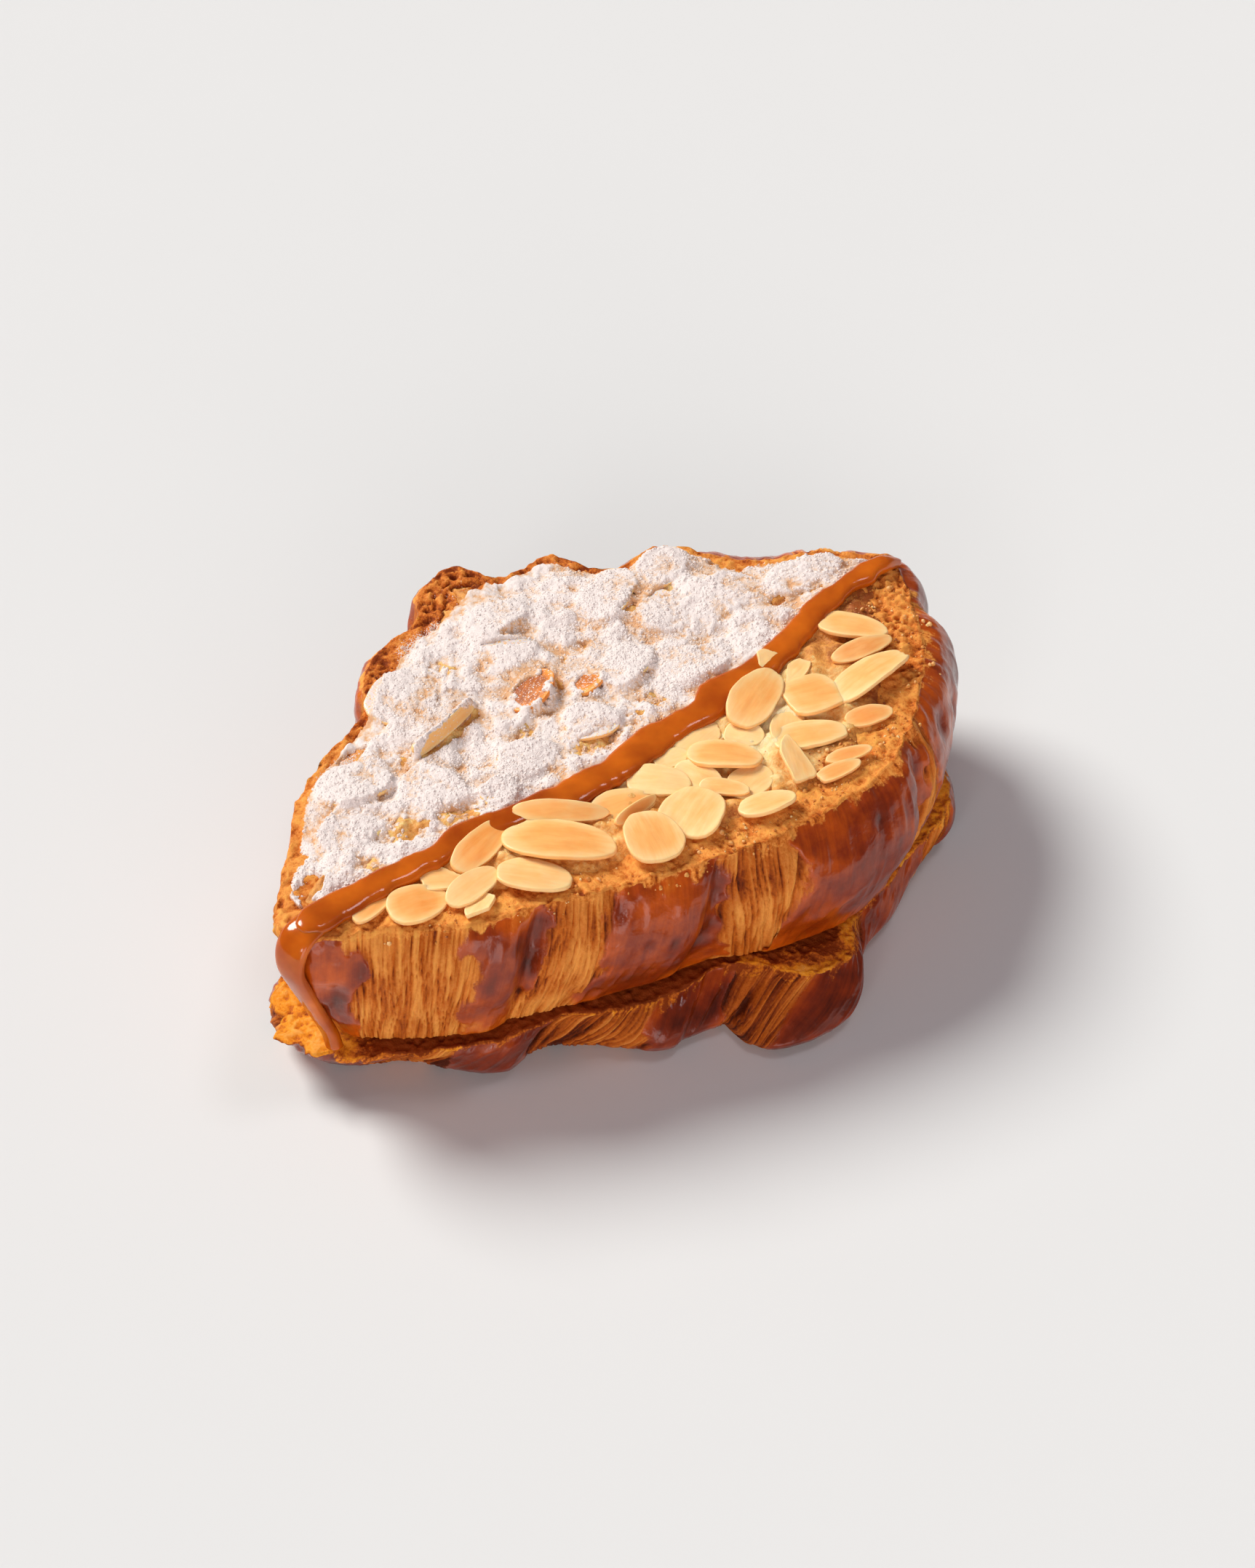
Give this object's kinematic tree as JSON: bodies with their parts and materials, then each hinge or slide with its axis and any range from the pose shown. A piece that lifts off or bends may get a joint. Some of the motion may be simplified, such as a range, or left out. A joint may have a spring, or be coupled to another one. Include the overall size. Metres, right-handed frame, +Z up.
{
  "type": "almond croissant",
  "caption": "Split almond croissant: thick half stacked on a thin half, cut faces up, with frangipane, flaked almonds, caramel stripe and icing sugar.",
  "frame": {"origin": "on the resting surface, under the middle of the bounding box", "axes": "+X along the croissant, towards the round end; +Y towards the sugared long side; +Z up"},
  "size_m": [0.165, 0.1182, 0.0463],
  "materials": {
    "lower_crust": "baked laminated crust, satin glaze, open crumb on the cut face",
    "upper_crust": "baked laminated crust, satin glaze, open crumb at the rim",
    "topping": "frangipane with flaked almonds, glossy caramel and matt icing sugar"
  },
  "bodies": {
    "root": {"lower_half": "lower_crust", "upper_half": "upper_crust", "almond_topping": "topping"}
  },
  "joints": []
}
